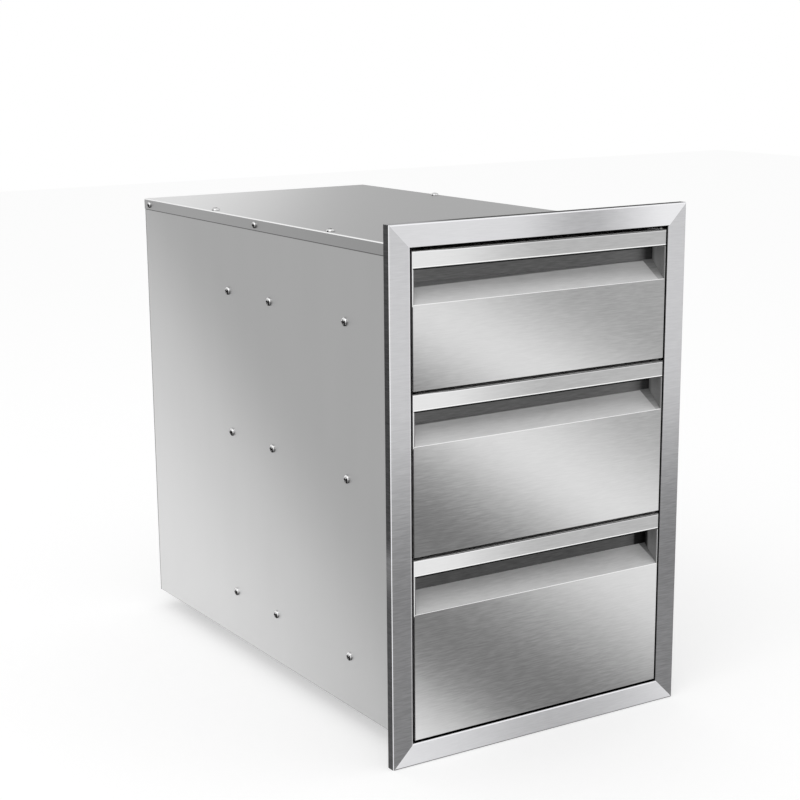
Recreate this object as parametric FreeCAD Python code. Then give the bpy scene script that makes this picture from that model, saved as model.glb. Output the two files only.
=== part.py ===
import FreeCAD, Part
import math
import os

# Built-in drawer unit for an outdoor kitchen: a mitred frame, a sheet steel cabinet
# behind it and three drawers on telescopic ball-bearing slides.
# Millimetres. X runs to the right, Y runs back and Z runs up. The model is drawn with
# Y = 0 on the front of the frame and Z = 0 on its bottom edge, and is moved on export so
# that the origin is at the bottom centre of the whole unit.

# Whole unit
unit_width = 355.0
unit_height = 533.0
unit_depth = 594.4

# Front frame: four folded channels with mitred ends
rail_width = 23.0
frame_depth = 11.3
frame_sheet = 1.0
frame_bend = 0.6
frame_lip = 8.0

# Cabinet: folded sheet panels
cabinet_sheet = 0.8
cabinet_bend = 0.5
cabinet_bottom = 19.1
front_flange_gap = 1.5
side_top_flange = 18.0
side_top_flange_start = 60.0
side_bottom_flange = 15.0
side_rear_flange = 12.0
lid_flange = 12.0
lid_flange_start = 30.0
floor_rear_flange = 12.0
flange_relief = 1.2
panel_fit = 0.1

# Drawer fronts
front_gap = 2.2
front_spacing = 2.3
front_setback = 0.5
front_sheet = 1.0
front_bend = 0.6
front_edge = 0.5
front_return = 8.2
lip_height = 17.0
lip_return = 6.0
recess_depth = 19.0
recess_rise = 18.5
cheek_sheet = 0.8
cheek_fit = 0.25
liner_sheet = 0.8
liner_inset = 0.8
top_front_height = 132.6
middle_front_height = 160.2
top_recess_height = 33.6
middle_recess_height = 33.7
bottom_recess_height = 38.0
drawer_side_clearance = 0.6

# Drawer boxes
box_sheet = 0.8
box_bend = 0.3
box_length = 470.0
box_floor_rise = 12.5
box_top_drop = 5.0
hem_height = 8.0
hem_fit = 0.5
back_flange = 12.0

# Telescopic slides
slide_length = 450.0
slide_travel = 450.0
slide_height = 45.0
slide_thickness = 12.7
slide_sheet = 1.2
slide_web_gap = 0.5
slide_setback = 3.7
ball_radius = 1.75
ball_clearance = 0.1
race_lean = 30.0
hook_end = 30.0
hood_end = 20.0
retainer_sheet = 0.4
retainer_width = 3.0
retainer_margin = 5.0
top_slide_rise = 50.3
middle_slide_rise = 52.2
bottom_slide_rise = 50.2

# Screws
slide_screw_places = (99.0, 257.4, 353.4)
lid_side_screw_places = (39.0, 309.0)
lid_rear_screw_inset = 16.4
lid_top_screw_places = (160.0, 416.0)
lid_top_screw_inset = 7.0
lid_side_screw_drop = 6.5
screw_radius = 2.0
screw_fit = 0.1
large_head_radius = 4.5
small_head_radius = 3.5
head_height = 2.2
head_taper = 1.0
head_sides = 12
shank_sides = 8
lid_screw_length = 7.0

# Sizes that follow from those above
opening_half = unit_width / 2 - rail_width
opening_bottom = rail_width
opening_top = unit_height - rail_width
front_half = opening_half - front_gap
return_inside = front_half - front_sheet
side_inside = return_inside + drawer_side_clearance
side_outside = side_inside + cabinet_sheet
lid_half = side_outside + cabinet_sheet
flange_front = frame_depth - frame_sheet - cabinet_sheet
lid_underside = opening_top
lid_top = lid_underside + cabinet_sheet
back_panel_front = unit_depth - 2 * cabinet_sheet
recess_back = front_setback + recess_depth
liner_front = recess_back + front_sheet
box_front = liner_front + liner_sheet
box_rear = box_front + box_length
slide_front = box_front + slide_setback
box_half = side_inside - slide_thickness
bend_reach = cabinet_bend + cabinet_sheet
bottom_front_height = (opening_top - opening_bottom - top_front_height
                       - middle_front_height - 4 * front_spacing)

V = FreeCAD.Vector


def in_xy(a, b):
    return V(a, b, 0)


def in_yz(a, b):
    return V(0, a, b)


def in_xz(a, b):
    return V(a, 0, b)


def on_circle(centre, radius, degrees):
    angle = math.radians(degrees)
    return (centre[0] + radius * math.cos(angle), centre[1] + radius * math.sin(angle))


def left_of(a, b):
    """Unit vector to the left of the way from a to b."""
    length = math.dist(a, b)
    return ((a[1] - b[1]) / length, (b[0] - a[0]) / length)


def mitre(before, after):
    """Offset, per unit of thickness, of the corner between two runs with these left vectors."""
    share = 1 + before[0] * after[0] + before[1] * after[1]
    return ((before[0] + after[0]) / share, (before[1] + after[1]) / share)


def path_pieces(path):
    """Straights and arcs of a path, each as (start, end, left at start, left at end, arc)."""
    pieces = []
    pen = None
    for item in path:
        is_arc = len(item) == 4
        start = on_circle(item[0], item[1], item[2]) if is_arc else item
        if pen is not None and math.dist(pen, start) > 1e-6:
            left = left_of(pen, start)
            pieces.append((pen, start, left, left, None))
        pen = start
        if is_arc:
            centre, radius, first, last = item
            inward = 1 if last > first else -1
            end = on_circle(centre, radius, last)
            lefts = [on_circle((0, 0), -inward, angle) for angle in (first, last)]
            pieces.append((start, end, lefts[0], lefts[1], item))
            pen = end
    return pieces


def skin_edges(pieces, offset, place):
    """Edges and ends of the skin that lies a distance to the left of a path."""
    points = []
    lefts = [piece[2] for piece in pieces] + [pieces[-1][3]]
    ends = [pieces[0][2]] + [piece[3] for piece in pieces]
    corners = [piece[0] for piece in pieces] + [pieces[-1][1]]
    for corner, before, after in zip(corners, ends, lefts):
        out = mitre(before, after)
        points.append((corner[0] + offset * out[0], corner[1] + offset * out[1]))
    edges = []
    for piece, start, end in zip(pieces, points, points[1:]):
        if math.dist(start, end) < 1e-6:
            continue
        if piece[4] is None:
            edges.append(Part.makeLine(place(*start), place(*end)))
        else:
            centre, radius, first, last = piece[4]
            inward = 1 if last > first else -1
            middle = on_circle(centre, radius - inward * offset, (first + last) / 2)
            edges.append(Part.Arc(place(*start), place(*middle), place(*end)).toShape())
    return edges, points[0], points[-1]


def strip_face(path, sheet, place):
    """Cross-section of a strip of this thickness along a path of corner points and arcs.

    An arc is (centre, radius, first angle, last angle) and runs on from what is before it.
    """
    pieces = path_pieces(path)
    left, left_start, left_end = skin_edges(pieces, sheet / 2, place)
    right, right_start, right_end = skin_edges(pieces, -sheet / 2, place)
    ends = [Part.makeLine(place(*left_start), place(*right_start)),
            Part.makeLine(place(*left_end), place(*right_end))]
    return Part.Face(Part.Wire(Part.__sortEdges__(left + right + ends)))


def bend_arc(before, corner, after, radius):
    """Arc that rounds the corner of a path."""
    left = left_of(before, corner)
    left_after = left_of(corner, after)
    turn = math.atan2(left[0] * left_after[1] - left[1] * left_after[0],
                      left[0] * left_after[0] + left[1] * left_after[1])
    way = 1 if turn > 0 else -1
    reach = radius * math.tan(abs(turn) / 2)
    centre = (corner[0] - left[1] * reach + way * radius * left[0],
              corner[1] + left[0] * reach + way * radius * left[1])
    first = math.degrees(math.atan2(-way * left[1], -way * left[0]))
    return (centre, radius, first, first + math.degrees(turn))


def sheet_face(points, sheet, bend, side, place, sharp=()):
    """Cross-section of a folded sheet.

    The points run along one skin of the sheet. The metal lies on their left (side 1) or on
    their right (side -1). Each corner is bent with this inside radius, and those in sharp
    are left square.
    """
    lefts = [left_of(a, b) for a, b in zip(points, points[1:])]
    middle = []
    for point, before, after in zip(points, lefts[:1] + lefts, lefts + lefts[-1:]):
        out = mitre(before, after)
        middle.append((point[0] + side * sheet / 2 * out[0], point[1] + side * sheet / 2 * out[1]))
    path = [middle[0]]
    for i in range(1, len(middle) - 1):
        arc = bend_arc(middle[i - 1], middle[i], middle[i + 1], bend + sheet / 2)
        path.append(middle[i] if i in sharp else arc)
    path.append(middle[-1])
    return strip_face(path, sheet, place)


def along_x(face, low, high):
    return face.extrude(V(high - low, 0, 0)).translated(V(low, 0, 0))


def along_y(face, low, high):
    return face.extrude(V(0, high - low, 0)).translated(V(0, low, 0))


def along_z(face, low, high):
    return face.extrude(V(0, 0, high - low)).translated(V(0, 0, low))


def block(x0, x1, y0, y1, z0, z1):
    return Part.makeBox(x1 - x0, y1 - y0, z1 - z0, V(x0, y0, z0))


def outline_face(points, place):
    corners = [place(*p) for p in points]
    return Part.Face(Part.makePolygon(corners + corners[:1]))


def joined(first, *others):
    """One solid from solids that overlap or share faces, with the seams cleaned away."""
    return first.fuse(list(others)).removeSplitter()


def many_sided(sides, start, start_radius, end, end_radius):
    """Solid along X with a regular outline of this many sides at each end."""
    rings = [[V(x, *on_circle((0, 0), radius, 360 * i / sides)) for i in range(sides)]
             for x, radius in ((start, start_radius), (end, end_radius))]
    outlines = rings + [[rings[0][i - 1], rings[0][i], rings[1][i], rings[1][i - 1]] for i in range(sides)]
    faces = [Part.Face(Part.makePolygon(points + points[:1])) for points in outlines]
    return Part.makeSolid(Part.makeShell(faces))


def drilled(shape, places, upright=False):
    """Screw holes through a sheet, along X or upright, with the shank's own number of sides."""
    radius = screw_radius + screw_fit
    for place in places:
        hole = many_sided(shank_sides, -2 * cabinet_sheet, radius, 2 * cabinet_sheet, radius)
        if upright:
            hole.rotate(V(0, 0, 0), V(0, 1, 0), 90)
        shape = shape.cut(hole.translated(place))
    return shape


def mirrored_x(shape):
    return shape.mirror(V(0, 0, 0), V(1, 0, 0))


# Front frame

def rail_section(place):
    """Channel with a lip at the back, drawn from the outer edge of the frame inwards."""
    points = [(frame_lip, frame_depth), (0, frame_depth), (0, 0),
              (rail_width, 0), (rail_width, flange_front)]
    return sheet_face(points, frame_sheet, frame_bend, 1, place)


def side_rail():
    """Left rail, with both ends cut at 45 degrees."""
    half = unit_width / 2
    bar = along_z(rail_section(lambda w, y: V(w - half, y, 0)), 0, unit_height)
    mitred = outline_face([(-half, 0), (-half + rail_width, rail_width),
                           (-half + rail_width, unit_height - rail_width), (-half, unit_height)], in_xz)
    return bar.common(along_y(mitred, 0, frame_depth))


def bottom_rail():
    """Bottom rail, with both ends cut at 45 degrees."""
    half = unit_width / 2
    bar = along_x(rail_section(lambda w, y: V(0, y, w)), -half, half)
    mitred = outline_face([(-half, 0), (-half + rail_width, rail_width),
                           (half - rail_width, rail_width), (half, 0)], in_xz)
    return bar.common(along_y(mitred, 0, frame_depth))


def frame_rails():
    left = side_rail()
    bottom = bottom_rail()
    top = bottom.mirror(V(0, 0, unit_height / 2), V(0, 0, 1))
    return {"frame_left_rail": left, "frame_right_rail": mirrored_x(left),
            "frame_bottom_rail": bottom, "frame_top_rail": top}


# Cabinet

def slide_screw_points(x):
    """Where the slides are screwed to a side panel, three screws to a slide."""
    return [V(x, slide_front + along, height) for height in slide_heights() for along in slide_screw_places]


def lid_side_screw_points(x):
    places = lid_side_screw_places + (unit_depth - lid_rear_screw_inset,)
    return [V(x, along, lid_top - lid_side_screw_drop) for along in places]


def lid_top_screw_points(z):
    inset = lid_half - lid_top_screw_inset
    return [V(side * inset, along, z) for side in (-1, 1) for along in lid_top_screw_places]


def left_side_panel():
    """Side panel with an outward flange inside the frame and inward ones on its other edges.

    The top flange stops short of the frame, and there the plain edge of the sheet is under the lid.
    """
    front_edge = unit_width / 2 - frame_sheet - front_flange_gap
    plan = sheet_face([(-front_edge, flange_front), (-side_inside, flange_front),
                       (-side_inside, back_panel_front - cabinet_sheet),
                       (-side_inside + side_rear_flange, back_panel_front - cabinet_sheet)],
                      cabinet_sheet, cabinet_bend, 1, in_xy)
    wall = along_z(plan, cabinet_bottom + bend_reach, lid_underside - bend_reach)
    flange_from = frame_depth + flange_relief
    flange_to = back_panel_front - bend_reach
    lap = 3 * bend_reach
    foot = sheet_face([(-side_outside, cabinet_bottom + lap), (-side_outside, cabinet_bottom),
                       (-side_outside + side_bottom_flange, cabinet_bottom)],
                      cabinet_sheet, cabinet_bend, 1, in_xz)
    head = sheet_face([(-side_outside, lid_underside - lap), (-side_outside, lid_underside),
                       (-side_outside + side_top_flange, lid_underside)],
                      cabinet_sheet, cabinet_bend, -1, in_xz)
    plain_edge = block(-side_outside, -side_inside, flange_front + bend_reach,
                       side_top_flange_start - flange_relief, lid_underside - bend_reach,
                       lid_underside - cabinet_bend)
    panel = joined(wall, along_y(foot, flange_from, flange_to),
                   along_y(head, side_top_flange_start, flange_to), plain_edge)
    middle = -side_outside + cabinet_sheet / 2
    panel = drilled(panel, slide_screw_points(middle) + lid_side_screw_points(middle))
    left_tops = [p for p in lid_top_screw_points(lid_underside - cabinet_sheet / 2) if p.x < 0]
    return drilled(panel, left_tops, upright=True)


def lid():
    """Shallow pan: its front edge turns up inside the frame, the other three turn down.

    The side flanges start behind the drawer fronts, so that the front edge can be hooked in first.
    """
    front_edge = unit_height - frame_sheet - front_flange_gap
    side_view = sheet_face([(flange_front, front_edge), (flange_front, lid_underside),
                            (unit_depth - cabinet_sheet, lid_underside),
                            (unit_depth - cabinet_sheet, lid_top - lid_flange)],
                           cabinet_sheet, cabinet_bend, 1, in_yz)
    sheet = along_x(side_view, -(lid_half - bend_reach), lid_half - bend_reach)
    lap = 3 * bend_reach
    edge = sheet_face([(-side_outside, lid_top - lid_flange), (-side_outside, lid_underside),
                       (-side_outside + lap, lid_underside)],
                      cabinet_sheet, cabinet_bend, 1, in_xz)
    left_edge = along_y(edge, lid_flange_start, unit_depth - bend_reach)
    pan = joined(sheet, left_edge, mirrored_x(left_edge))
    middle = lid_half - cabinet_sheet / 2
    pan = drilled(pan, lid_side_screw_points(-middle) + lid_side_screw_points(middle))
    return drilled(pan, lid_top_screw_points(lid_top - cabinet_sheet / 2), upright=True)


def cabinet_floor():
    """Floor that lies on the side panels' bottom flanges."""
    floor_top = cabinet_bottom + 2 * cabinet_sheet
    half = side_inside - cabinet_bend - panel_fit
    rear_half = side_inside - side_rear_flange - flange_relief
    front_edge = frame_sheet + front_flange_gap
    front = sheet_face([(flange_front, front_edge), (flange_front, floor_top),
                        (back_panel_front - cabinet_sheet - panel_fit, floor_top)],
                       cabinet_sheet, cabinet_bend, -1, in_yz)
    lap = 3 * bend_reach
    rear = sheet_face([(back_panel_front - cabinet_sheet - lap, floor_top),
                       (back_panel_front - cabinet_sheet, floor_top),
                       (back_panel_front - cabinet_sheet, floor_top + floor_rear_flange)],
                      cabinet_sheet, cabinet_bend, -1, in_yz)
    sheet = along_x(front, -half, half)
    notch = block(-rear_half, rear_half, back_panel_front - cabinet_sheet - 2 * bend_reach,
                  back_panel_front, cabinet_bottom, floor_top + cabinet_sheet)
    return joined(sheet.cut(notch), along_x(rear, -rear_half, rear_half))


def back_panel():
    return block(-side_outside, side_outside, back_panel_front, back_panel_front + cabinet_sheet,
                 cabinet_bottom, lid_underside - cabinet_bend - panel_fit)


def cabinet_panels():
    left = left_side_panel()
    return {"cabinet_left_side": left, "cabinet_right_side": mirrored_x(left),
            "cabinet_lid": lid(), "cabinet_floor": cabinet_floor(), "cabinet_back": back_panel()}


# Screws

def pan_screw(head_radius, length):
    """Pan head on a plain shank, pointing along +X, with the seat of the head at X = 0."""
    head = many_sided(head_sides, -head_height, head_radius - head_taper, 0, head_radius)
    shank = many_sided(shank_sides, 0, screw_radius, length, screw_radius)
    return joined(head, shank)


def screw_group(screw, turn_axis, turn, points):
    screws = []
    for point in points:
        copy = screw.copy()
        copy.rotate(V(0, 0, 0), turn_axis, turn)
        copy.translate(point)
        screws.append(copy)
    return Part.makeCompound(screws)


def all_screws():
    slide_screw = pan_screw(large_head_radius, cabinet_sheet + slide_sheet)
    lid_side_screw = pan_screw(small_head_radius, lid_screw_length)
    lid_top_screw = pan_screw(large_head_radius, lid_screw_length)
    up = V(0, 0, 1)
    left = screw_group(slide_screw, up, 0, slide_screw_points(-side_outside))
    right = screw_group(slide_screw, up, 180, slide_screw_points(side_outside))
    flange_screws = Part.makeCompound([
        screw_group(lid_side_screw, up, 0, lid_side_screw_points(-lid_half)),
        screw_group(lid_side_screw, up, 180, lid_side_screw_points(lid_half))])
    top_screws = screw_group(lid_top_screw, V(0, 1, 0), 90, lid_top_screw_points(lid_top))
    return {"left_slide_screws": left, "right_slide_screws": right,
            "lid_flange_screws": flange_screws, "lid_top_screws": top_screws}


# Telescopic slides, drawn in (distance from the side panel, height from the slide's middle)

def race_centres():
    """Centres of the two upper ball rows: outer to middle member, and middle to inner member."""
    middle_radius = ball_radius + ball_clearance + slide_sheet / 2
    edge = middle_radius + slide_sheet / 2
    outer_row = (edge, slide_height / 2 - edge)
    inner_row = on_circle(outer_row, 2 * middle_radius, -race_lean)
    return outer_row, inner_row, middle_radius


def outer_member_path():
    """Upper half of the section: a hook over the outer balls, then the web."""
    outer_row, _, radius = race_centres()
    return [(outer_row, radius, hook_end, 180)]


def middle_member_path():
    """A hood over the inner balls runs into a groove under the outer balls, then to the web."""
    outer_row, inner_row, radius = race_centres()
    web = slide_sheet * 1.5 + slide_web_gap
    return [(inner_row, radius, hood_end, 180 - race_lean),
            (outer_row, radius, -race_lean, -90),
            (web, outer_row[1] - radius)]


def inner_member_path():
    """A groove under the inner balls, and a web that lies on the drawer box."""
    _, inner_row, radius = race_centres()
    web = slide_thickness - slide_sheet / 2
    return [(inner_row, radius, 180 + race_lean, 270), (web, inner_row[1] - radius)]


def with_lower_half(path):
    """A section's path carried on downwards as the mirror image of its upper half."""
    lower = []
    for item in reversed(path):
        if len(item) == 2:
            lower.append((item[0], -item[1]))
        else:
            centre, radius, first, last = item
            lower.append(((centre[0], -centre[1]), radius, -last, -first))
    return path + lower


def left_slide_place(height):
    return lambda u, v: V(-side_inside + u, 0, height + v)


def slide_member(path, height):
    section = strip_face(with_lower_half(path), slide_sheet, left_slide_place(height))
    return along_y(section, slide_front, slide_front + slide_length)


def retainer_strips(row, height):
    """Flat strips that keep the balls of one row apart, above and below, left and right."""
    start = slide_front + slide_travel / 4 + retainer_margin
    end = slide_front + slide_length - slide_travel / 4 - retainer_margin
    x = -side_inside + row[0]
    strips = []
    for middle in (height + row[1], height - row[1]):
        strip = block(x - retainer_width / 2, x + retainer_width / 2, start, end,
                      middle - retainer_sheet / 2, middle + retainer_sheet / 2)
        strips += [strip, mirrored_x(strip)]
    return Part.makeCompound(strips)


def slide_parts(name, height):
    outer = slide_member(outer_member_path(), height)
    screw_places = [p for p in slide_screw_points(-side_inside + slide_sheet / 2) if abs(p.z - height) < 1]
    outer = drilled(outer, screw_places)
    middle = slide_member(middle_member_path(), height)
    inner = slide_member(inner_member_path(), height)
    outer_row, inner_row, _ = race_centres()
    parts = {}
    for part, shape in (("outer", outer), ("middle", middle), ("inner", inner)):
        parts[name + "_left_slide_" + part] = shape
        parts[name + "_right_slide_" + part] = mirrored_x(shape)
    parts[name + "_outer_retainers"] = retainer_strips(outer_row, height)
    parts[name + "_inner_retainers"] = retainer_strips(inner_row, height)
    return parts


# Drawers

def drawer_list():
    """Name, bottom and top of the front, recess height and slide height, from the top down."""
    sizes = (("drawer_1", top_front_height, top_recess_height, top_slide_rise),
             ("drawer_2", middle_front_height, middle_recess_height, middle_slide_rise),
             ("drawer_3", bottom_front_height, bottom_recess_height, bottom_slide_rise))
    drawers = []
    top = opening_top - front_spacing
    for name, height, recess, slide_rise in sizes:
        bottom = top - height
        drawers.append((name, bottom, top, recess, bottom + slide_rise))
        top = bottom - front_spacing
    return drawers


def slide_heights():
    return [drawer[4] for drawer in drawer_list()]


def drawer_front(bottom, top, recess):
    """One sheet, folded from the bottom flange up the face, back along the slope of the finger
    recess, up its rear wall, forward over the top and down the lip, with a return at each end."""
    lip_bottom = top - lip_height
    face_top = lip_bottom - recess
    profile = sheet_face([(liner_front, bottom), (front_setback, bottom), (front_setback, face_top),
                          (recess_back, face_top + recess_rise), (recess_back, top - front_sheet),
                          (front_setback + front_sheet, top - front_sheet),
                          (front_setback + front_sheet, lip_bottom + front_sheet),
                          (front_setback + lip_return, lip_bottom + front_sheet)],
                         front_sheet, front_bend, -1, in_yz, sharp=(3, 4))
    skin = along_x(profile, -return_inside, return_inside)
    plate = end_plate(bottom, top)
    return joined(skin, plate, mirrored_x(plate))


def end_plate(bottom, top):
    """Return at the right end of a front, with the corners of the front's own bends."""
    plate = block(return_inside, front_half, front_setback, front_setback + front_return, bottom, top)
    corners = [edge for edge in plate.Edges
               if all(abs(v.Y - front_setback) < 1e-6 for v in edge.Vertexes)
               and abs(edge.Vertexes[0].Z - edge.Vertexes[1].Z) < 1e-6]
    plate = plate.makeFillet(front_bend + front_sheet, corners)
    rim = outline_face([(front_half - front_edge, front_setback), (front_half, front_setback),
                        (front_half, front_setback + front_edge)], in_xy)
    return plate.cut(along_z(rim, bottom, top))


def end_cheek(top, recess):
    """Plate that closes the right end of the finger recess."""
    face_top = top - lip_height - recess
    slope = recess_rise / recess_depth
    fit = cheek_fit
    rise = fit * math.hypot(1, slope)
    front = front_setback + fit
    rear = recess_back - fit
    behind_lip = front_setback + lip_return + fit
    under_lip = top - lip_height - fit
    roof = top - front_sheet - fit
    side_view = outline_face([(front, face_top + slope * fit + rise),
                              (rear, face_top + slope * (recess_depth - fit) + rise),
                              (rear, roof), (behind_lip, roof),
                              (behind_lip, under_lip), (front, under_lip)], in_yz)
    return along_x(side_view, return_inside - cheek_sheet, return_inside)


def front_liner(bottom, top):
    half = return_inside - liner_inset
    return block(-half, half, liner_front, box_front, bottom, top - front_sheet)


def box_heights(bottom, top, recess):
    """Underside of the drawer's floor and top of its sides."""
    face_top = top - lip_height - recess
    return bottom + box_floor_rise, face_top + recess_rise - box_top_drop


def drawer_pan(low, high):
    """Floor and both sides from one sheet, with the top edges folded over as hems."""
    hem = box_half - 2 * (box_bend + box_sheet)
    end_view = sheet_face([(-hem, high - hem_height), (-hem, high), (-box_half, high), (-box_half, low),
                           (box_half, low), (box_half, high), (hem, high), (hem, high - hem_height)],
                          box_sheet, box_bend, 1, in_xz, sharp=(1, 2, 5, 6))
    return along_y(end_view, box_front, box_rear)


def drawer_back(low, high):
    """Rear wall between the sides, with a flange along each of them."""
    half = box_half - box_sheet
    plan = sheet_face([(-half, box_rear - back_flange), (-half, box_rear),
                       (half, box_rear), (half, box_rear - back_flange)],
                      box_sheet, box_bend, -1, in_xy, sharp=(1, 2))
    return along_z(plan, low + box_sheet + box_bend, high - hem_height - hem_fit)


def drawer_parts(name, bottom, top, recess):
    low, high = box_heights(bottom, top, recess)
    cheek = end_cheek(top, recess)
    return {name + "_front": drawer_front(bottom, top, recess),
            name + "_left_cheek": mirrored_x(cheek),
            name + "_right_cheek": cheek,
            name + "_liner": front_liner(bottom, top),
            name + "_pan": drawer_pan(low, high),
            name + "_back": drawer_back(low, high)}


def build():
    parts = {}
    parts.update(frame_rails())
    parts.update(cabinet_panels())
    parts.update(all_screws())
    for name, bottom, top, recess, slide_middle in drawer_list():
        parts.update(drawer_parts(name, bottom, top, recess))
        parts.update(slide_parts(name, slide_middle))
    return parts


os.makedirs("parts", exist_ok=True)
for node, shape in build().items():
    shape.translate(V(0, -unit_depth / 2, 0))
    if not shape.isValid():
        print("not valid:", node)
    print(node, len(shape.Solids), round(shape.Volume, 1))
    shape.exportStep("parts/" + node + ".step")
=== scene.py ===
import math

import bmesh
import bpy
from mathutils import Matrix, Vector


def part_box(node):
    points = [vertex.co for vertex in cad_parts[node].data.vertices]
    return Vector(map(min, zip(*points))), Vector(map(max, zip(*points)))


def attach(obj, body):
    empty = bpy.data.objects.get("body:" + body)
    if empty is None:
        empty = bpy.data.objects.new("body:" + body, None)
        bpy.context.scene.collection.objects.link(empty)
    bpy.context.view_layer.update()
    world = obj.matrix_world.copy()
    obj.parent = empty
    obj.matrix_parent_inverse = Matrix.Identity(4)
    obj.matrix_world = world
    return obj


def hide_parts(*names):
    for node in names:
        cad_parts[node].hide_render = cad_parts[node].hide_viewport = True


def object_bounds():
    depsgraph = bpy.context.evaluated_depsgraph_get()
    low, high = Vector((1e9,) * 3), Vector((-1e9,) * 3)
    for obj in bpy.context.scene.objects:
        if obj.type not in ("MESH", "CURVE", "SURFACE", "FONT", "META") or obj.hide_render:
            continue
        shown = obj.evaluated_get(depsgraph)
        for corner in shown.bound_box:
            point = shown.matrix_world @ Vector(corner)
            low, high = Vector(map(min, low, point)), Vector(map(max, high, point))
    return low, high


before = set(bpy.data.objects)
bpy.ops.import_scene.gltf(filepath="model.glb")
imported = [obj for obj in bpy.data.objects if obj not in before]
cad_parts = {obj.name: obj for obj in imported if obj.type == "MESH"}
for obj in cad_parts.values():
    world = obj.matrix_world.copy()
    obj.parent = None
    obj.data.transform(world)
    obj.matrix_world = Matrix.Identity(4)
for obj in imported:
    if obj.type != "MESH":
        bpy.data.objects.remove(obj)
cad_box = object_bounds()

# Looks of a built-in drawer unit for an outdoor kitchen: brushed steel on a mitred frame and
# three drawer fronts, plain rolled steel on the cabinet, bright screws and slides. Much of the
# light and shade on the steel is painted into its colour, by place and by the way a surface
# faces. Metres. X runs to the right, Y runs back and Z runs up.

# Camera, from the photograph's vanishing lines
camera_place = (-1.0088, -1.6334, 0.7073)
camera_forward = (0.51392, 0.82563, -0.23285)
camera_up = (0.13070, 0.19291, 0.97247)
camera_sensor = 36.0
camera_lens = 78.0
camera_shift = (0.0109, 0.0533)

# How white the floor is, how much it glows and how bright the world is, each first for the
# light that falls on the unit and then as it is seen
floor_half_size = 6.0
floor_whiteness = (0.98, 0.62)
floor_glow = (0.0, 0.44)
world_strength = (0.85, 1.0)
white = (1.0, 1.0, 1.0, 1.0)

# Soft lamp, high on the left in front of the unit
key_place = (-1.6, -1.2, 2.2)
key_target = (0.0, 0.0, 0.25)
key_size = 1.6
key_power = 14.0

# Where the unit's main surfaces lie
unit_low = Vector(cad_box[0])
unit_high = Vector(cad_box[1])
front_y = unit_low.y
rail_width = 0.023
bend_size = 0.0016
cabinet_sheet = 0.0008
lid_flange = 0.012

# Parts of a drawer front that are the same for all drawers
lip_height = 0.017
recess_depth = 0.019
recess_rise = 0.0185
front_setback = 0.0005

# Shades are written as they look on a screen, where 0 is black and 1 is white
display_gamma = 2.2
# A painted highlight and a painted shade for thin edges and bends
edge_highlight = 0.97
edge_shade = 0.28

# Brush strokes: how fine they are along X, Y and Z, how clear they are at a dark and at a
# light shade, how deep they are, and the share of their strength that rolled sheet has
stroke_scale = (70.0, 90.0, 820.0)
stroke_strength = ((0.60, 0.16), (0.90, 0.03))
stroke_depth = 0.00002
rolled_share = 0.3

# Clouds on plain sheet, haze on the cabinet's sides and grain in the screws' recesses
cloud_scale = (4.0, 3.0, 5.0)
cloud_strength = 0.07
haze_scale = (30.0, 30.0, 6.0)
haze_strength = 0.01
recess_scale = (900.0, 900.0, 900.0)

# Directions in which the light grows: on a side, the shares of the ways back and down, and
# on the lid, the shares of the ways back and to the left
side_slant = (0.547, 0.837)
lid_slant = (0.535, 0.845)

# Painted lines: the mitres and how much lighter they are, the soft edges of painted shadows,
# the soft middle between left and right, and a painted highlight and a painted shade along a
# lip's lower edge, with where each starts, is full, fades and ends
mitre_width = 0.0004
mitre_lift = 0.04
shadow_blur = 0.0006
middle_blur = 0.001
lip_edge_highlight = (0.0007, 0.0009, 0.0017, 0.0019)
lip_edge_shade = (-0.0005, -0.0001, 0.0007, 0.0009)
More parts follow.
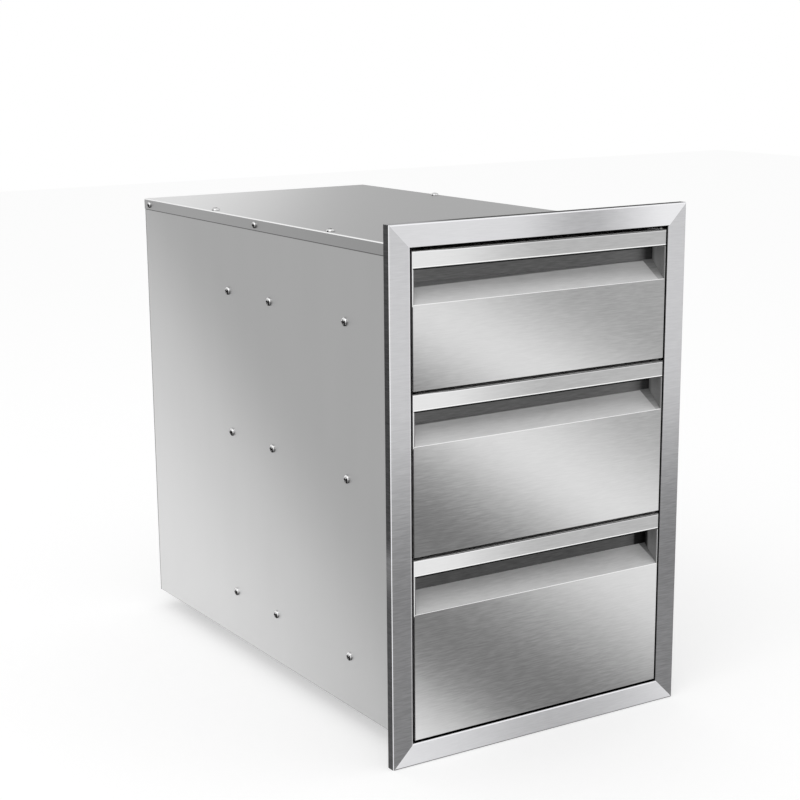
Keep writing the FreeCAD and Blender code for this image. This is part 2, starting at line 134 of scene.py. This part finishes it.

# Painted light and shade of each drawer front, with places in metres:
# lean: how far the painted bands of light on the face lean to the left as they rise
# face: the painted grey at each distance to the right plus the lean times the height
# recess_height: from the lip's lower edge down to the face
# slope: the painted greys of the recess's slope at the shares of its depth in slope_stops
# slope_back: the share of the depth where the painted shadow strip at the back starts, left
# and right
# slope_shadow: where the painted shadow on the right starts, at the front and at the back
# wall: the painted greys of the recess's rear wall and of its shaded right end
# wall_end: where that end starts and where it is complete
# lip_shadow: how far the lip's painted shadow reaches down the wall
slope_stops = (0.0, 0.15, 0.4, 0.7, 1.0)
drawer_looks = {
    "drawer_1": {
        "lean": 1.80,
        "face": ((0.53, 0.56), (0.57, 0.68), (0.61, 0.778), (0.65, 0.839), (0.68, 0.849),
                 (0.71, 0.832), (0.75, 0.78), (0.79, 0.719), (0.83, 0.668), (0.86, 0.643),
                 (0.90, 0.639), (1.0, 0.645)),
        "recess_height": 0.0336,
        "slope": (0.80, 0.79, 0.762, 0.757, 0.84),
        "slope_back": (0.74, 0.92),
        "slope_shadow": (0.1435, 0.1375),
        "wall": (0.35, 0.24),
        "wall_end": (0.1380, 0.1435),
        "lip_shadow": 0.0040,
    },
    "drawer_2": {
        "lean": 1.50,
        "face": ((0.17, 0.468), (0.22, 0.465), (0.25, 0.494), (0.29, 0.581), (0.33, 0.684),
                 (0.37, 0.784), (0.40, 0.834), (0.43, 0.854), (0.465, 0.84), (0.51, 0.79),
                 (0.55, 0.728), (0.59, 0.68), (0.66, 0.66)),
        "recess_height": 0.0337,
        "slope": (0.79, 0.776, 0.762, 0.759, 0.86),
        "slope_back": (0.87, 0.95),
        "slope_shadow": (0.1452, 0.1382),
        "wall": (0.35, 0.24),
        "wall_end": (0.1375, 0.1435),
        "lip_shadow": 0.0059,
    },
    "drawer_3": {
        "lean": 1.45,
        "face": ((-0.12, 0.90), (-0.07, 0.80), (-0.03, 0.683), (0.005, 0.567), (0.04, 0.503),
                 (0.08, 0.486), (0.11, 0.509), (0.15, 0.569), (0.19, 0.644), (0.23, 0.722),
                 (0.27, 0.79), (0.31, 0.836), (0.40, 0.87)),
        "recess_height": 0.0380,
        "slope": (0.75, 0.736, 0.707, 0.684, 0.74),
        "slope_back": (0.97, 0.99),
        "slope_shadow": (0.1520, 0.1425),
        "wall": (0.29, 0.125),
        "wall_end": (0.1345, 0.1375),
        "lip_shadow": 0.0082,
    },
}

# Screws: a domed pan head with a cross recess on a threaded shank. The reach and half width
# of the cross are shares of the head's radius, and its taper gives the floor's length and
# width as shares of the top's. The heads in a row are turned by a few degrees.
plain_head_height = 0.0022
head_height = 0.0027
head_rim = 0.0009
dome_steps = 8
dome_fullness = 0.8
cross_reach = 0.66
cross_half_width = 0.20
cross_taper = (0.45, 0.55)
cross_floor = 0.0010
cross_excess = 0.0004
thread_pitch = 0.0008
thread_depth = 0.0003
head_turns = (-9, -3, 3, 9)
sharp_angle = math.radians(35)

# For each node of screws, the radius of the head and of the shank, and the length below
screw_sizes = {
    "left_slide_screws": (0.0045, 0.0020, 0.0020),
    "right_slide_screws": (0.0045, 0.0020, 0.0020),
    "lid_flange_screws": (0.0035, 0.0020, 0.0070),
    "lid_top_screws": (0.0045, 0.0020, 0.0070),
}

# Balls of the slides
ball_radius = 0.00175
ball_pitch = 0.0112


class Graph:
    """Nodes of a material or a world, written as sums on their sockets."""

    def __init__(self, owner):
        owner.use_nodes = True
        self.tree = owner.node_tree
        self.tree.nodes.clear()

    def node(self, kind, inputs=()):
        """New node with a value or the output of another node in each of these inputs."""
        node = self.tree.nodes.new("ShaderNode" + kind)
        for place, value in dict(inputs).items():
            socket = node.inputs[place]
            if isinstance(value, bpy.types.NodeSocket):
                self.tree.links.new(value, socket)
            else:
                socket.default_value = value
        return node

    def split(self, vector):
        """X, Y and Z of a vector."""
        return tuple(self.node("SeparateXYZ", {0: vector}).outputs)

    def math(self, operation, *values):
        """Result of one sum."""
        node = self.node("Math", enumerate(values))
        node.operation = operation
        return node.outputs[0]

    def add(self, a, b):
        return self.math("ADD", a, b)

    def minus(self, a, b):
        return self.math("SUBTRACT", a, b)

    def times(self, a, b):
        return self.math("MULTIPLY", a, b)

    def line(self, value, start, end, low=0.0, high=1.0, smooth=True):
        """Runs from low to high as the value runs from start to end, and stays there."""
        if start > end:
            start, end, low, high = end, start, high, low
        node = self.node("MapRange", enumerate((value, start, end, low, high)))
        node.interpolation_type = "SMOOTHSTEP" if smooth else "LINEAR"
        return node.outputs[0]

    def stripe(self, value, start, full, fading, end):
        """Rises from 0 to 1 from start to full, and falls back to 0 from fading to end."""
        return self.times(self.line(value, start, full), self.line(value, end, fading))

    def near(self, value, middle, reach):
        """1 close to the middle, and falling to 0 over the last 40 percent of this reach."""
        away = self.math("ABSOLUTE", self.minus(value, middle))
        return self.line(away, reach, 0.6 * reach)

    def blend(self, factor, a, b):
        """a where the factor is 0 and b where it is 1, for plain numbers."""
        node = self.node("Mix", {0: factor, 2: a, 3: b})
        node.data_type = "FLOAT"
        return node.outputs[0]

    def steps(self, value, *stops):
        """A smooth curve through stops, each a place and a grey."""
        start, end = stops[0][0], stops[-1][0]
        node = self.node("FloatCurve", {"Value": self.line(value, start, end, smooth=False)})
        curve = node.mapping.curves[0]
        points = [((place - start) / (end - start), grey) for place, grey in stops]
        curve.points[0].location = points[0]
        curve.points[1].location = points[-1]
        for point in points[1:-1]:
            curve.points.new(*point)
        node.mapping.update()
        return node.outputs[0]

    def seen_directly(self):
        """1 for rays of the camera and of mirror images, and 0 for light that falls on things."""
        path = self.node("LightPath")
        seen = path.outputs["Is Camera Ray"]
        for kind in ("Is Glossy Ray", "Is Transmission Ray"):
            seen = self.math("MAXIMUM", seen, path.outputs[kind])
        return seen


class Steel(Graph):
    """A steel that takes painted light and shade from a point's place and from the way the surface
    faces.
    """

    def __init__(self, name):
        self.material = bpy.data.materials.new(name)
        super().__init__(self.material)
        place = self.node("TexCoord")
        self.position = place.outputs["Object"]
        self.x, self.y, self.z = self.split(self.position)
        self.nx, self.ny, self.nz = self.split(place.outputs["Normal"])
        self.facing = self.times(self.ny, -1.0)
        self.on_left = self.line(self.x, middle_blur, -middle_blur)

    def grain(self, scale, detail=3.0):
        """Noise from 0 to 1, as fine along X, Y and Z as the scale says."""
        stretch = self.node("Mapping", {"Vector": self.position, "Scale": scale})
        noise = self.node("TexNoise", {"Vector": stretch.outputs[0], "Scale": 1.0,
                                       "Detail": detail})
        return noise.outputs[0]

    def vary(self, grey, noise, strength):
        """A shade made lighter and darker by noise from 0 to 1."""
        return self.add(grey, self.times(self.minus(noise, 0.5), strength))

    def brushed(self, grey, share=1.0):
        """A shade with fine horizontal brush strokes, clearer where it is darker, and them."""
        strokes = self.grain(stroke_scale)
        (dark, on_dark), (light, on_light) = stroke_strength
        strength = self.line(grey, dark, light, share * on_dark, share * on_light, smooth=False)
        return self.vary(grey, strokes, strength), strokes

    def finish(self, grey, tint=(1.0, 1.0, 1.0), roughness=0.34, metallic=0.9, edge_tint=1.0,
               strokes=None):
        """Ends in steel of this shade, with these strokes as its relief."""
        colour = self.node("CombineColor", enumerate(self.times(grey, share) for share in tint))
        linear = self.node("Gamma", {"Color": colour.outputs[0], "Gamma": display_gamma})
        inputs = {"Base Color": linear.outputs[0], "Roughness": roughness, "Metallic": metallic,
                  "Specular Tint": (edge_tint, edge_tint, edge_tint, 1.0)}
        if strokes is not None:
            relief = self.node("Bump", {"Distance": stroke_depth, "Height": strokes})
            inputs["Normal"] = relief.outputs[0]
        shader = self.node("BsdfPrincipled", inputs)
        self.node("OutputMaterial", {"Surface": shader.outputs[0]})
        return self.material


def frame_steel():
    """Front frame: faces with painted light that meet in mitres, painted highlights on the rolled
    edges and painted shade on the returns.
    """
    g = Steel("frame_steel")
    from_side = g.minus(0.5 * (unit_high.x - unit_low.x), g.math("ABSOLUTE", g.x))
    from_top = g.minus(unit_high.z, g.z)
    from_end = g.math("MINIMUM", from_top, g.z)
    from_rim = g.math("MINIMUM", from_side, from_end)
    on_side = g.math("LESS_THAN", from_side, from_end)
    on_end = g.minus(1.0, on_side)
    on_top = g.math("LESS_THAN", from_top, from_side)

    # Painted light along the face of each rail
    side_rail = g.steps(g.z, (0.0, 0.51), (0.12, 0.51), (0.17, 0.503), (0.22, 0.548),
                        (0.28, 0.654), (0.34, 0.755), (0.385, 0.782), (0.533, 0.788))
    top_rail = g.steps(g.x, (-0.17, 0.86), (-0.06, 0.862), (-0.03, 0.848), (0.0, 0.785),
                       (0.03, 0.725), (0.055, 0.714), (0.09, 0.79), (0.12, 0.873),
                       (0.15, 0.93), (0.177, 0.93))
    bottom_rail = g.steps(g.x, (-0.17, 0.905), (-0.09, 0.847), (-0.01, 0.757), (0.03, 0.748),
                          (0.09, 0.781), (0.17, 0.875))
    face = g.blend(on_side, g.blend(on_top, bottom_rail, top_rail), side_rail)
    mitre = g.near(from_side, from_end, mitre_width)
    face = g.add(face, g.times(mitre, mitre_lift))

    # Painted shade on the returns: the outer sides dark with a brighter band of painted
    # reflection, the top fading from light on the left to near black, and the hidden inner returns
    # painted dark as the shade in the gaps
    side_return = g.steps(g.z, (0.0, 0.37), (0.13, 0.34), (0.175, 0.37), (0.205, 0.48),
                          (0.235, 0.32), (0.27, 0.30), (0.533, 0.31))
    top_return = g.line(g.x, -0.15, -0.07, 0.80, 0.12)
    outer = g.blend(g.line(g.nz, 0.5, 0.8), side_return, top_return)
    hidden_return_shade = g.line(g.ny, 0.3, 0.7, 0.20, 0.55)
    back = g.blend(g.line(from_rim, 0.004, 0.003), hidden_return_shade, outer)
    grey = g.blend(g.line(g.facing, 0.1, 0.4), back, face)

    # Painted highlights on the rolled bends: bright on the left side and on bends that face up,
    # grey on the right side, and painted shade on the end rails' bends that face down
    side_bend = g.stripe(g.facing, 0.03, 0.12, 0.54, 0.68)
    side_bend_light = g.blend(g.on_left, 0.52, edge_highlight)
    grey = g.blend(g.times(on_side, side_bend), grey, side_bend_light)
    bend_start = g.times(g.line(g.nz, 0.0, 0.1), g.times(on_top, 0.35))
    end_bend = g.times(g.line(g.minus(g.facing, bend_start), 0.1, 0.3),
                       g.line(g.facing, 0.985, 0.955))
    end_bend_light = g.blend(g.line(g.nz, -0.05, 0.05), g.blend(on_top, 0.5, 0.06), edge_highlight)
    grey = g.blend(g.times(on_end, end_bend), grey, end_bend_light)
    # Painted highlight at half strength along the inner edge of the left rail
    inner_bend = g.line(from_rim, rail_width - bend_size - 0.0004, rail_width - bend_size)
    left_inner_highlight = g.times(g.times(inner_bend, on_side), g.on_left)
    left_inner_highlight = g.times(left_inner_highlight, g.line(g.facing, 0.4, 0.6, 0.0, 0.5))
    grey = g.blend(left_inner_highlight, grey, 0.95)
    shade, strokes = g.brushed(grey)
    return g.finish(shade, (0.997, 0.997, 1.006), edge_tint=0.3, strokes=strokes)


def lip_and_face(g, look, low, high, lip_bottom):
    """Painted light on a drawer front's lip and face, with painted highlights and shade along
    their edges.
    """
    # Painted bands of light on the face, and painted light along the lip that dims to the right
    across = g.add(g.x, g.times(g.z, look["lean"]))
    face = g.steps(across, *look["face"])
    lip = g.steps(g.x, (-0.15, 0.90), (-0.105, 0.886), (-0.07, 0.827), (-0.035, 0.768),
                  (0.0, 0.72), (0.03, 0.714), (0.15, 0.716))
    grey = g.blend(g.line(g.z, lip_bottom - 0.001, lip_bottom), face, lip)

    # Painted highlights on the crease and along the lip's lower edge, with a painted shade line at
    # that edge below the highlight
    crease_highlight = g.times(g.stripe(g.facing, 0.80, 0.84, 0.945, 0.970), g.line(g.nz, 0.1, 0.2))
    grey = g.blend(crease_highlight, grey, 1.0)
    over_lip_bottom = g.minus(g.z, lip_bottom)
    grey = g.blend(g.stripe(over_lip_bottom, *lip_edge_highlight), grey, 1.0)
    grey = g.blend(g.stripe(over_lip_bottom, *lip_edge_shade), grey, 0.20)
    # Painted highlight just under the top edge, weaker to the right, with painted shade on the top
    # edge itself where it meets the gap, and a faint painted highlight along the bottom edge
    below_gap = g.add(g.minus(high.z, g.z), g.line(g.x, -0.14, -0.10, -0.0008, -0.0013))
    top_edge_highlight = g.times(g.line(below_gap, 0.0010, 0.0008), g.line(g.x, -0.08, 0.0, 0.9, 0.45))
    grey = g.blend(top_edge_highlight, grey, edge_highlight)
    grey = g.blend(g.line(below_gap, 0.0001, -0.0001), grey, edge_shade)
    over_bottom = g.minus(g.z, low.z)
    grey = g.blend(g.line(over_bottom, 0.0014, 0.0012, 0.0, 0.15), grey, 0.95)

    # Painted highlight on the ends, and painted shade on the left end below the top of the face
    over_face = g.minus(g.z, lip_bottom - look["recess_height"])
    shaded_left_end = g.times(g.line(over_face, -0.001, -0.002), g.on_left)
    on_end = g.line(g.math("ABSOLUTE", g.nx), 0.3, 0.5)
    return g.blend(on_end, grey, g.blend(shaded_left_end, 0.93, edge_shade))


def recess_slope(g, look, depth_share, ends):
    """Painted shade of a finger recess's slope, with a painted shadow on the right and a painted
    shadow strip behind.
    """
    grey = g.steps(depth_share, *zip(slope_stops, look["slope"]))
    # Painted shadow on the right, deeper further back
    shadow_front, shadow_back = look["slope_shadow"]
    straightened = g.add(g.x, g.times(depth_share, shadow_front - shadow_back))
    in_shadow = g.line(straightened, shadow_front - shadow_blur, shadow_front + shadow_blur)
    shadow = g.line(depth_share, 0.0, 1.0, 0.86, 0.55, smooth=False)
    grey = g.times(grey, g.blend(in_shadow, 1.0, shadow))
    # Painted shadow strip at the back of the slope
    back_shadow_start = g.line(g.x, -0.15, 0.11, *look["slope_back"], smooth=False)
    in_back_shadow = g.line(g.minus(depth_share, back_shadow_start), 0.0, 0.05)
    grey = g.blend(in_back_shadow, grey, 0.46)
    # Painted light towards both ends, more of it further back
    return g.times(grey, g.blend(g.line(depth_share, 0.3, 0.9), 1.0, ends))


def recess_wall(g, look, lip_bottom, ends):
    """Painted shade of a finger recess's rear wall, with painted shadow at its right end and below
    the lip.
    """
    grey = g.times(g.blend(g.line(g.x, *look["wall_end"]), *look["wall"]), ends)
    shadow_end = lip_bottom - look["lip_shadow"]
    return g.blend(g.line(g.z, shadow_end, shadow_end + shadow_blur), grey, 0.10)


def front_steel(name):
    """Drawer front: a painted diagonal band of light on the face, and painted light and shade on
    lip and recess.
    """
    g = Steel(name + "_front_steel")
    look = drawer_looks[name]
    low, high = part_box(name + "_front")
    lip_bottom = high.z - lip_height
    into = g.minus(g.y, front_y + front_setback)

    # Faces turned down or back, hidden from the front, are painted nearly white so that they throw
    # more light into the recess
    unseen = g.math("MAXIMUM", g.line(g.nz, -0.3, -0.7), g.line(g.ny, 0.3, 0.7))
    grey = g.blend(unseen, 0.80, 0.97)

    # Painted light: the recess grows lighter towards both ends, by up to 11 percent on the right
    # and 5 percent on the left
    ends = g.times(g.line(g.x, 0.05, 0.145, 1.0, 1.11), g.line(g.x, -0.10, -0.15, 1.0, 1.05))
    on_wall = g.times(g.line(g.facing, 0.8, 0.95), g.line(into, 0.0022, 0.003))
    grey = g.blend(on_wall, grey, recess_wall(g, look, lip_bottom, ends))

    slope_length = math.hypot(recess_depth, recess_rise)
    slope_reach = 0.1
    on_slope = g.times(g.near(g.nz, recess_depth / slope_length, slope_reach),
                       g.near(g.facing, recess_rise / slope_length, slope_reach))
    slope = recess_slope(g, look, g.times(into, 1 / recess_depth), ends)
    grey = g.blend(g.times(on_slope, g.line(into, 0.0001, 0.0004)), grey, slope)

    on_front = g.times(g.line(into, 0.0022, 0.0018), g.line(g.facing, 0.1, 0.3))
    on_front = g.times(on_front, g.minus(1.0, on_slope))
    grey = g.blend(on_front, grey, lip_and_face(g, look, low, high, lip_bottom))
    shade, strokes = g.brushed(grey)
    return g.finish(shade, metallic=g.blend(on_slope, 0.9, 0.3), strokes=strokes)


def cheek_steel():
    """Ends of the finger recesses, painted lighter further in, with a painted shadow at the back
    in drawer 3.
    """
    g = Steel("cheek_steel")
    into = g.minus(g.y, front_y)
    grey = g.steps(into, (0.0, 0.47), (0.003, 0.485), (0.007, 0.52), (0.011, 0.585),
                   (0.015, 0.635), (0.018, 0.54), (0.020, 0.52))
    # Painted shadow at the back of the cheeks in drawer 3
    in_drawer_3 = g.line(g.z, 0.212, 0.210)
    at_back = g.line(into, 0.0130, 0.0175)
    grey = g.blend(g.times(in_drawer_3, at_back), grey, 0.14)
    return g.finish(g.brushed(grey, rolled_share)[0], roughness=0.5, metallic=0.3)


def side_steel():
    """Cabinet sides: painted light low down at the back, painted shade towards the front and the
    top.
    """
    g = Steel("side_steel")
    back = g.minus(g.y, front_y)
    across = g.minus(g.times(back, side_slant[0]), g.times(g.z, side_slant[1]))
    grey = g.steps(across, (-0.155, 0.64), (-0.115, 0.655), (-0.075, 0.685), (0.0, 0.75),
                   (0.062, 0.785), (0.129, 0.82), (0.216, 0.85), (0.32, 0.86))
    flange_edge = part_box("cabinet_left_side")[1].z + cabinet_sheet - lid_flange
    # Painted shadow line just under the lid's flange
    flange_shadow = g.line(g.z, flange_edge - 0.0013, flange_edge - 0.0009)
    grey = g.blend(flange_shadow, grey, 0.36)
    # Painted shade on the bend at the foot, which faces down
    grey = g.blend(g.line(g.nz, -0.2, -0.5), grey, 0.40)
    grey = g.vary(grey, g.grain(haze_scale, 1.0), haze_strength)
    return g.finish(grey, roughness=0.4)


def lid_steel():
    """Cabinet lid: painted light at the back on the left, with flanges painted a little darker
    than the sides.
    """
    g = Steel("lid_steel")
    back = g.minus(g.y, front_y)
    across = g.minus(g.times(back, lid_slant[0]), g.times(g.x, lid_slant[1]))
    top = g.steps(across, (0.0, 0.66), (0.165, 0.665), (0.205, 0.69), (0.235, 0.725),
                  (0.262, 0.765), (0.291, 0.812), (0.320, 0.85), (0.355, 0.888), (0.40, 0.92))
    # Painted shade on the flanges, lighter further back
    flange = g.line(back, 0.06, 0.50, 0.58, 0.64, smooth=False)
    grey = g.blend(g.line(g.nz, 0.3, 0.9), flange, top)
    # Painted highlight on the bend between the top and the flanges
    grey = g.blend(g.stripe(g.nz, 0.1, 0.25, 0.95, 0.99), grey, 0.98)
    return g.finish(grey, roughness=0.4, edge_tint=0.72)


def screw_steel():
    """Screw heads in painted light: a shade for each quarter, a painted highlight at the upper
    left, painted shade on the right.
    """
    g = Steel("screw_steel")
    # Painted light by the way the dome faces, lightest on its upper left quarter
    left = g.line(g.ny, -0.05, 0.05)
    upper = g.line(g.nz, -0.05, 0.05)
    grey = g.blend(upper, g.blend(left, 0.52, 0.74), g.blend(left, 0.88, 1.0))
    # Painted dark band on the right of the dome
    shaded_band = g.times(g.stripe(g.ny, -0.62, -0.48, -0.20, -0.12), g.line(g.nz, 0.25, 0.12))
    grey = g.blend(shaded_band, grey, 0.08)
    # Painted shade round the domes of the lid's screws, and at half strength under the rims of all
    # heads
    on_lid = g.math("GREATER_THAN", g.z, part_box("cabinet_lid")[1].z)
    ring = g.times(on_lid, g.line(g.nz, 0.96, 0.86))
    rim = g.times(g.line(g.nz, -0.45, -0.65), 0.5)
    grey = g.blend(g.math("MAXIMUM", ring, rim), grey, 0.12)
    return g.finish(grey, roughness=0.16, edge_tint=0.3)


def shaded_recess_steel():
    """Cross recess of a screw, in painted shade: nearly black with a fine grain."""
    g = Steel("shaded_recess_steel")
    grey = g.line(g.grain(recess_scale, 1.0), 0.3, 0.7, 0.03, 0.09)
    return g.finish(grey, roughness=0.5, edge_tint=0.2)


def plain_steel(name, grey, roughness=0.38):
    """Rolled sheet with a faint grain and soft clouds of light."""
    g = Steel(name)
    low, high = grey - cloud_strength, grey + cloud_strength
    clouds = g.line(g.grain(cloud_scale, 1.0), 0.3, 0.7, low, high)
    return g.finish(g.brushed(clouds, rolled_share)[0], roughness=roughness)


def give(material, *nodes):
    """Puts one material on these CAD nodes."""
    for node in nodes:
        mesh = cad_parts[node].data
        mesh.materials.clear()
        mesh.materials.append(material)


def finish_frame_and_cabinet():
    """Steels of the parts that stand still."""
    give(frame_steel(), "frame_left_rail", "frame_right_rail", "frame_top_rail",
         "frame_bottom_rail")
    give(side_steel(), "cabinet_left_side", "cabinet_right_side")
    give(lid_steel(), "cabinet_lid")
    give(plain_steel("inner_sheet", 0.72), "cabinet_floor", "cabinet_back")


def finish_drawers():
    """Steels of the drawers and of their slides."""
    cheeks = cheek_steel()
    box = plain_steel("box_steel", 0.68)
    zinc = plain_steel("zinc_plate", 0.66, 0.3)
    for name in drawer_looks:
        give(front_steel(name), name + "_front")
        give(cheeks, name + "_left_cheek", name + "_right_cheek")
        give(box, name + "_liner", name + "_pan", name + "_back")
        for side in ("_left_slide_", "_right_slide_"):
            give(zinc, *(name + side + member for member in ("outer", "middle", "inner")))
        give(zinc, name + "_outer_retainers", name + "_inner_retainers")


def add_object(name, data):
    """New object in the scene."""
    thing = bpy.data.objects.new(name, data)
    bpy.context.scene.collection.objects.link(thing)
    return thing


def mesh_object(name, draw, *values):
    """New object with the mesh that a function draws from these values."""
    drawn = bmesh.new()
    draw(drawn, *values)
    mesh = bpy.data.meshes.new(name)
    drawn.to_mesh(mesh)
    drawn.free()
    return add_object(name, mesh)


def smooth(mesh):
    """Shades a mesh without visible facets."""
    for face in mesh.polygons:
        face.use_smooth = True


def loose_solids(node):
    """Lowest and highest corner of each separate solid in a CAD node."""
    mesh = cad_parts[node].data
    groups = {}
    for face in mesh.polygons:
        corners = {tuple(round(value, 6) for value in mesh.vertices[i].co)
                   for i in face.vertices}
        touched = {id(groups[corner]): groups[corner] for corner in corners if corner in groups}
        for other in touched.values():
            corners |= other
        for corner in corners:
            groups[corner] = corners
    solids = {id(group): group for group in groups.values()}.values()
    ends = [[Vector(pick(values) for values in zip(*group)) for pick in (min, max)]
            for group in solids]
    return sorted(ends, key=lambda pair: tuple(pair[0]))


def face_outwards(drawn):
    """Makes all faces look away from the inside."""
    bmesh.ops.recalc_face_normals(drawn, faces=drawn.faces[:])


def turned(drawn, profile, turns=32):
    """Adds what a profile of (distance from the axis, height) leaves when turned round Z."""
    angles = [2 * math.pi * i / turns for i in range(turns)]
    rings = []
    for radius, height in profile:
        if radius == 0:
            rings.append([drawn.verts.new((0, 0, height))] * turns)
        else:
            rings.append([drawn.verts.new((radius * math.cos(a), radius * math.sin(a), height))
                          for a in angles])
    for low, high in zip(rings, rings[1:]):
        for i in range(turns):
            corners = [low[i - 1], low[i], high[i], high[i - 1]]
            drawn.faces.new(list(dict.fromkeys(corners)))


def draw_screw(drawn, head_radius, shank_radius, length):
    """Screw with its head upwards and the seat of the head at height 0."""
    angles = [0.5 * math.pi * i / dome_steps for i in range(dome_steps)]
    dome = [(head_radius * math.cos(angle) ** dome_fullness,
             head_rim + (head_height - head_rim) * math.sin(angle)) for angle in angles]
    profile = [(0, head_height)] + dome[::-1] + [(head_radius, 0.0), (shank_radius, 0.0)]
    thread_root = shank_radius - thread_depth
    depth = 0.0
    while depth < length - thread_pitch:
        profile.append((thread_root, -depth - 0.5 * thread_pitch))
        profile.append((shank_radius, -depth - thread_pitch))
        depth += thread_pitch
    profile += [(thread_root, -length), (0, -length)]
    turned(drawn, profile)
    face_outwards(drawn)


def draw_cross(drawn, head_radius):
    """Tapered cross with four arms, which cuts the recess out of a screw head."""
    reach = head_radius * cross_reach
    half = head_radius * cross_half_width
    top = [(-reach, -half), (reach, -half), (reach, half), (-reach, half)]
    floor = [(cross_taper[0] * x, cross_taper[1] * y) for x, y in top]
    for quarter in range(2):
        turn = Matrix.Rotation(quarter * math.pi / 2, 3, "Z")
        rings = [[drawn.verts.new(turn @ Vector((x, y, z))) for x, y in outline]
                 for outline, z in ((floor, cross_floor), (top, head_height + cross_excess))]
        drawn.faces.new(rings[0])
        drawn.faces.new(rings[1])
        for i in range(4):
            drawn.faces.new([rings[0][i - 1], rings[0][i], rings[1][i], rings[1][i - 1]])
    face_outwards(drawn)


def screw_mesh(name, materials, head_radius, shank_radius, length):
    """A screw with the cross cut out of its head."""
    head = mesh_object(name + "_blank", draw_screw, head_radius, shank_radius, length)
    cutter = mesh_object(name + "_cross", draw_cross, head_radius)
    head.data.materials.append(materials[0])
    cutter.data.materials.append(materials[1])
    cut = head.modifiers.new("cross", "BOOLEAN")
    cut.operation = "DIFFERENCE"
    cut.solver = "EXACT"
    cut.material_mode = "TRANSFER"
    cut.use_self = True
    cut.object = cutter
    bpy.context.view_layer.update()
    finished = head.evaluated_get(bpy.context.evaluated_depsgraph_get())
    mesh = bpy.data.meshes.new_from_object(finished)
    for other in (head, cutter):
        bpy.data.objects.remove(other)
    return mesh


def head_seat(low, high):
    """Where the head of a plain screw sits and which way it looks, from the screw's corners."""
    middle = 0.5 * (low + high)
    size = high - low
    along_x = abs(size.y - size.z) < abs(size.y - size.x)
    if not along_x:
        return Vector((middle.x, middle.y, high.z - plain_head_height)), Vector((0, 0, 1))
    if middle.x < 0:
        return Vector((low.x + plain_head_height, middle.y, middle.z)), Vector((-1, 0, 0))
    return Vector((high.x - plain_head_height, middle.y, middle.z)), Vector((1, 0, 0))


def draw_screws(drawn, node, screw):
    """A detailed screw in the place of each plain one in this node."""
    for count, (low, high) in enumerate(loose_solids(node)):
        seat, outward = head_seat(low, high)
        turn = Matrix.Rotation(math.radians(head_turns[count % len(head_turns)]), 4, "Z")
        stand = outward.to_track_quat("Z", "Y").to_matrix().to_4x4()
        before = len(drawn.verts)
        drawn.from_mesh(screw)
        drawn.verts.ensure_lookup_table()
        bmesh.ops.transform(drawn, matrix=Matrix.Translation(seat) @ stand @ turn,
                            verts=drawn.verts[before:])


def add_screws():
    """Detailed screws in place of the plain ones, as one piece for each node."""
    materials = (screw_steel(), shaded_recess_steel())
    for node, sizes in screw_sizes.items():
        piece = mesh_object(node + "_detailed", draw_screws, node,
                            screw_mesh(node, materials, *sizes))
        for material in materials:
            piece.data.materials.append(material)
        piece.data.set_sharp_from_angle(angle=sharp_angle)
        smooth(piece.data)
        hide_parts(node)
        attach(piece, "cabinet")


def draw_balls(drawn, node):
    """A row of balls along each retainer strip in this node."""
    for low, high in loose_solids(node):
        middle = 0.5 * (low + high)
        count = int((high.y - low.y - 2 * ball_radius) / ball_pitch)
        start = middle.y - 0.5 * count * ball_pitch
        for i in range(count + 1):
            place = Matrix.Translation((middle.x, start + i * ball_pitch, middle.z))
            bmesh.ops.create_icosphere(drawn, subdivisions=1, radius=ball_radius, matrix=place)
    face_outwards(drawn)


def add_balls():
    """Balls of each slide, as one piece for each cage."""
    material = plain_steel("ball_steel", 0.86, 0.15)
    for name in drawer_looks:
        for cage in ("_outer", "_inner"):
            piece = mesh_object(name + cage + "_balls", draw_balls, name + cage + "_retainers")
            piece.data.materials.append(material)
            smooth(piece.data)
            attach(piece, name + cage + "_cages")


def add_camera():
    """The photograph's camera."""
    camera = add_object("camera", bpy.data.cameras.new("camera"))
    forward = Vector(camera_forward).normalized()
    right = forward.cross(Vector(camera_up)).normalized()
    up = right.cross(forward)
    turn = Matrix((right, up, -forward)).transposed().to_4x4()
    camera.matrix_world = Matrix.Translation(camera_place) @ turn
    camera.data.sensor_width = camera_sensor
    camera.data.lens = camera_lens
    camera.data.shift_x, camera.data.shift_y = camera_shift
    bpy.context.scene.camera = camera


def add_floor():
    """Pale floor, which looks white outside the shadow of the unit."""
    half = floor_half_size
    corners = [(-half, -half, 0), (half, -half, 0), (half, half, 0), (-half, half, 0)]
    mesh = bpy.data.meshes.new("floor")
    mesh.from_pydata(corners, [], [(0, 1, 2, 3)])
    floor = add_object("floor", mesh)
    material = bpy.data.materials.new("floor")
    mesh.materials.append(material)
    g = Graph(material)
    seen = g.seen_directly()
    shader = g.node("BsdfPrincipled", {
        "Base Color": g.blend(seen, *floor_whiteness),
        "Roughness": 1.0,
        "Specular IOR Level": 0.0,
        "Emission Color": white,
        "Emission Strength": g.blend(seen, *floor_glow),
    })
    g.node("OutputMaterial", {"Surface": shader.outputs[0]})


def add_world():
    """White to the camera, and a little under white as the light on the unit."""
    world = bpy.data.worlds.new("studio")
    bpy.context.scene.world = world
    g = Graph(world)
    strength = g.blend(g.seen_directly(), *world_strength)
    background = g.node("Background", {"Color": white, "Strength": strength})
    g.node("OutputWorld", {"Surface": background.outputs[0]})


def add_key_light():
    """Soft square lamp that looks at the unit."""
    light = bpy.data.lights.new("key", "AREA")
    light.shape = "SQUARE"
    light.size = key_size
    light.energy = key_power
    lamp = add_object("key", light)
    lamp.location = key_place
    aim = Vector(key_target) - Vector(key_place)
    lamp.rotation_euler = aim.to_track_quat("-Z", "Y").to_euler()


def set_stage():
    """Camera, floor and light."""
    add_camera()
    add_floor()
    add_world()
    add_key_light()
    bpy.context.scene.view_settings.view_transform = "Standard"


finish_frame_and_cabinet()
finish_drawers()
add_screws()
add_balls()
set_stage()
